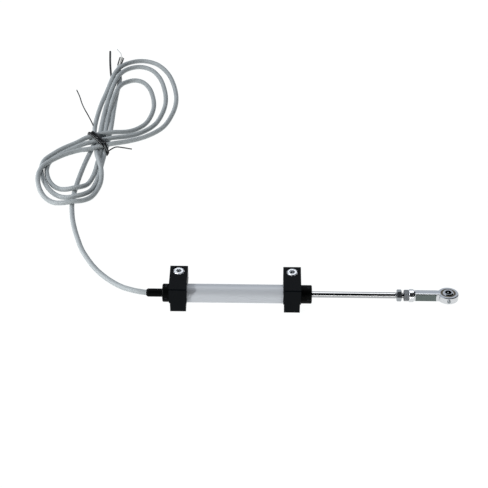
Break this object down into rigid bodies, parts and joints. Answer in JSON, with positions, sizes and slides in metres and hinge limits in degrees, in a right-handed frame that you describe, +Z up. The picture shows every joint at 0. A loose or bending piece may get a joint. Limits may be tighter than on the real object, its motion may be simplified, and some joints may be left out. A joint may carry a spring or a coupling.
{
  "type": "linear displacement sensor",
  "caption": "Rod type linear displacement sensor in an aluminium tube, on split clamp blocks, with a rod end, and a thin cable tied in a figure-of-eight hank.",
  "frame": {"origin": "on the rear clamp's base, right under the axis of the tube", "axes": "+X along the tube towards the rod end, +Y to the back, where the clamp screws are, +Z up"},
  "size_m": [0.4312, 0.44, 0.0275],
  "materials": {
    "anodised_aluminium": "satin anodised",
    "black_cap": "fine moulded",
    "black_clamp": "black anodised, satin",
    "polished_steel": "ground and polished",
    "plated_steel": "zinc plated",
    "bearing_bronze": "sintered",
    "seal_rubber": "matte",
    "inner_plastic": "moulded",
    "element_board": "coated",
    "element_track": "conductive plastic",
    "contact_metal": "rolled",
    "cable_jacket": "soft PVC",
    "core_jacket": "PVC",
    "tie_plastic": "smooth"
  },
  "bodies": {
    "housing": {"housing_tube": "anodised_aluminium", "rear_cap": "black_cap", "rear_cap_seal": "seal_rubber", "rear_cap_screws": "plated_steel", "strain_relief": "black_cap", "front_cap": "black_cap", "front_cap_seal": "seal_rubber", "front_cap_screws": "plated_steel", "guide_bushing": "bearing_bronze", "rod_wiper": "seal_rubber", "element_carrier": "black_cap", "resistance_element": "element_board", "resistive_tracks": "element_track", "inner_leads": "core_jacket", "rear_buffer": "seal_rubber", "front_buffer": "seal_rubber", "rear_clamp": "black_clamp", "front_clamp": "black_clamp", "rear_clamp_screw": "plated_steel", "front_clamp_screw": "plated_steel", "cable_lead": "cable_jacket", "cable_hank": "cable_jacket", "cable_tie": "tie_plastic", "cable_cores": "core_jacket"},
    "carriage": {"wiper_carriage": "inner_plastic", "wiper_contacts": "contact_metal"},
    "rod": {"rod": "polished_steel", "rod_clip": "plated_steel", "limit_nut": "plated_steel", "lock_nut": "plated_steel", "rod_end_housing": "plated_steel", "rod_end_liner": "bearing_bronze", "grease_nipple": "plated_steel"},
    "ball": {"rod_end_ball": "polished_steel"}
  },
  "joints": [
    {"name": "rod_slide", "type": "slide", "parent": "housing", "child": "carriage", "axis": [1, 0, 0], "range_m": [-0.075, 0.002]},
    {"name": "rod_spin", "type": "hinge", "parent": "carriage", "child": "rod", "pos_m": [0.1, 0, 0.013], "axis": [1, 0, 0], "continuous": true},
    {"name": "ball_spin", "type": "hinge", "parent": "rod", "child": "ball", "pos_m": [0.2582, 0, 0.013], "axis": [0, 0.1564, 0.9877], "continuous": true}
  ]
}
